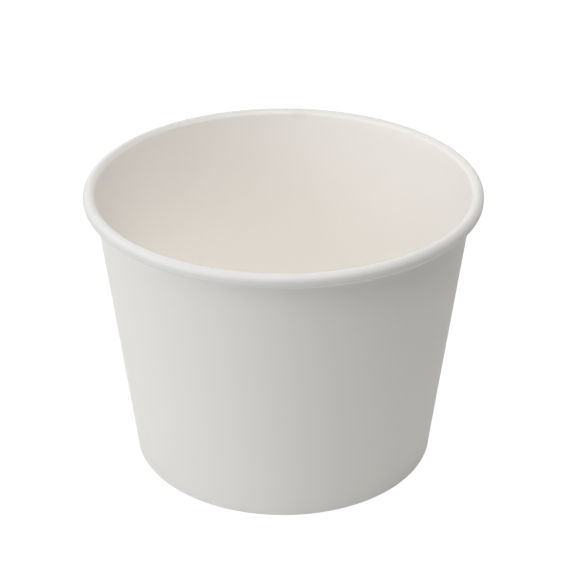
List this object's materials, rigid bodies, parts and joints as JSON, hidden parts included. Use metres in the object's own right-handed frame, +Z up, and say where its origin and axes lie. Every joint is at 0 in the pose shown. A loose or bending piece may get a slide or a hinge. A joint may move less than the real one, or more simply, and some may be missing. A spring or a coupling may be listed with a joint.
{
  "type": "paper bowl",
  "caption": "Round tapered paper bowl with a rolled rim, a lapped side seam and a flat bottom disc set up inside the folded foot; holds soup, noodles or ice cream.",
  "frame": {"origin": "centre of the foot, on the table", "axes": "+Z up along the bowl's axis, +Y towards the side seam at the back"},
  "size_m": [0.118, 0.118, 0.0868],
  "materials": {
    "wall_board": "white coated paperboard, matt outside, semi-gloss film inside",
    "bottom_board": "white coated paperboard, semi-gloss film above, matt below"
  },
  "bodies": {
    "root": {"side_wall": "wall_board", "bottom_disc": "bottom_board"}
  },
  "joints": []
}
